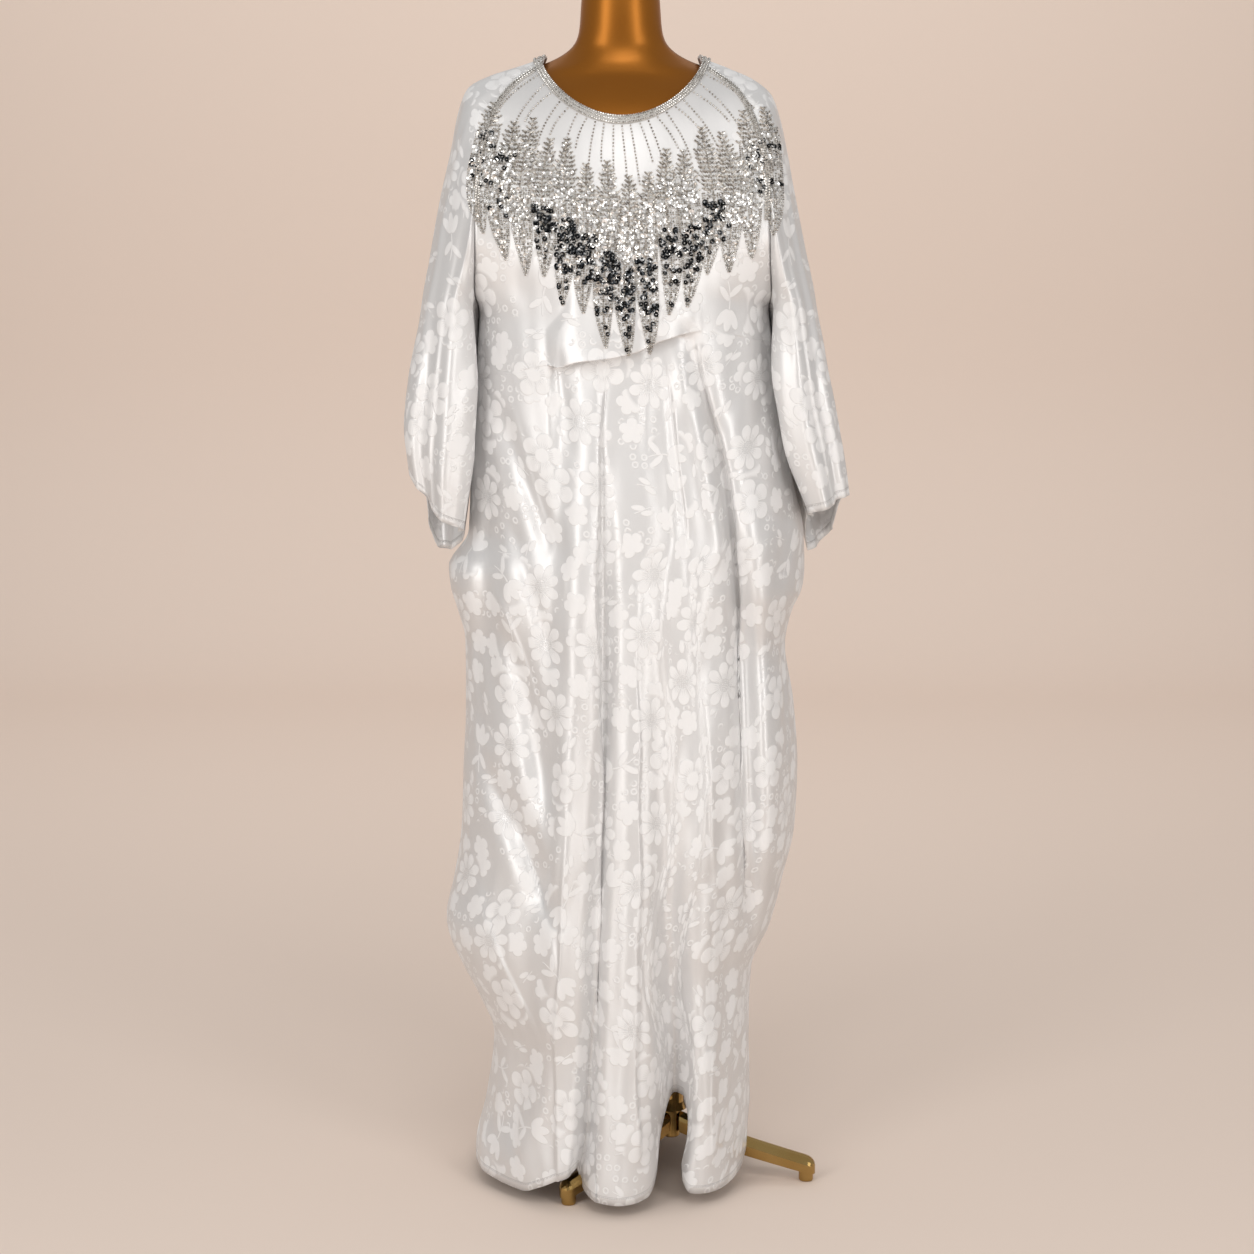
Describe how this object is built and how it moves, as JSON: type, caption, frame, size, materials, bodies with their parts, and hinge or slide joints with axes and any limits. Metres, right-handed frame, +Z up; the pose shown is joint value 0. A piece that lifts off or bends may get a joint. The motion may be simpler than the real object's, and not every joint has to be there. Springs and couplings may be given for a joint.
{
  "type": "silk kaftan dress on a dress form with a tripod stand",
  "caption": "Ankle-length silk kaftan with wide raglan sleeves and a beaded neckline, standing on a limbless bronze dress form with a brass tripod.",
  "frame": {"origin": "floor level, on the wearer's centre line between the front and the back of the dress", "axes": "+Z up, -Y the front of the dress, +X to the right of the picture"},
  "size_m": [0.563, 0.4069, 1.562],
  "materials": {
    "satin": "white jacquard silk satin, glossy ground with matte flowers",
    "beaded_trim": "sewn rows of small silver beads and crystals",
    "form_skin": "bronze lacquer, satin gloss",
    "brass": "polished"
  },
  "bodies": {
    "root": {"front_panel": "satin", "back_panel": "satin", "sleeve_left": "satin", "sleeve_right": "satin", "neck_band": "beaded_trim", "raglan_trim_left": "beaded_trim", "raglan_trim_right": "beaded_trim", "form_body": "form_skin", "pole": "brass", "hub": "brass", "set_screw": "brass", "leg_front": "brass", "leg_side": "brass", "leg_back": "brass"}
  },
  "joints": []
}
